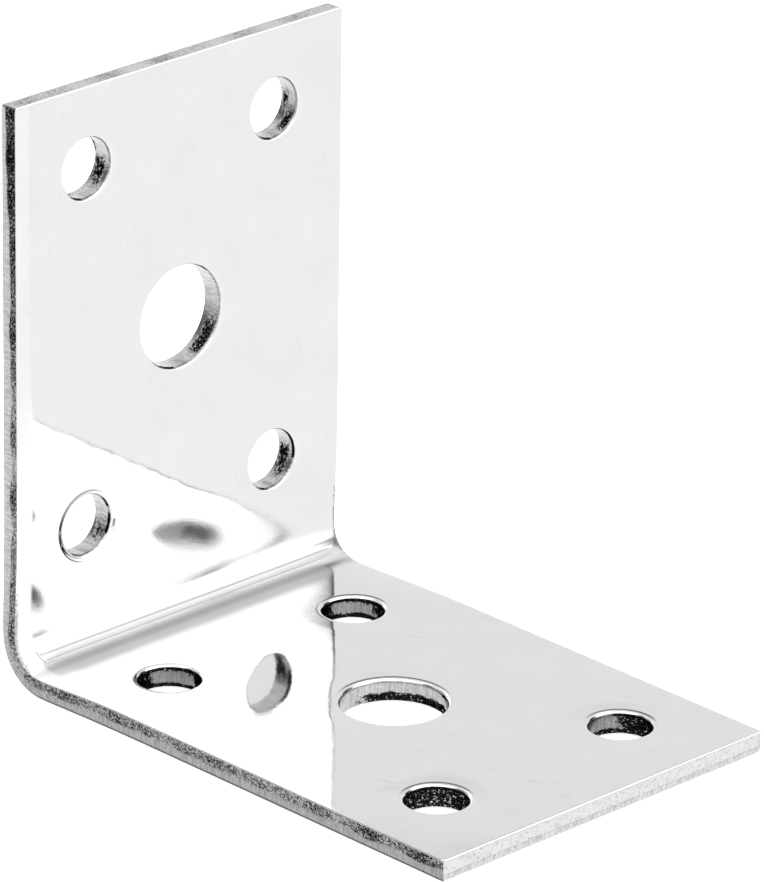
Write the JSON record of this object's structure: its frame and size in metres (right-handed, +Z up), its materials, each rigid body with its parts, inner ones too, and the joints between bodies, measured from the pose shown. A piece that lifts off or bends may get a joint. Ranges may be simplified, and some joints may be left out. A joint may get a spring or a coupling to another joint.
{
  "type": "angle bracket",
  "caption": "Right-angle bracket folded from polished stainless sheet, with a bolt hole among nail holes in each leg, for joining timber to timber or to concrete.",
  "frame": {"origin": "middle of the footprint, on the underside of the base leg", "axes": "+X along the fold, -Y towards the free end of the base leg, +Z up along the upright leg"},
  "size_m": [0.0346, 0.05, 0.0489],
  "materials": {
    "polished_steel": "polished sheet faces, sheared edges and hole walls left rough"
  },
  "bodies": {
    "root": {"angle_bracket": "polished_steel"}
  },
  "joints": []
}
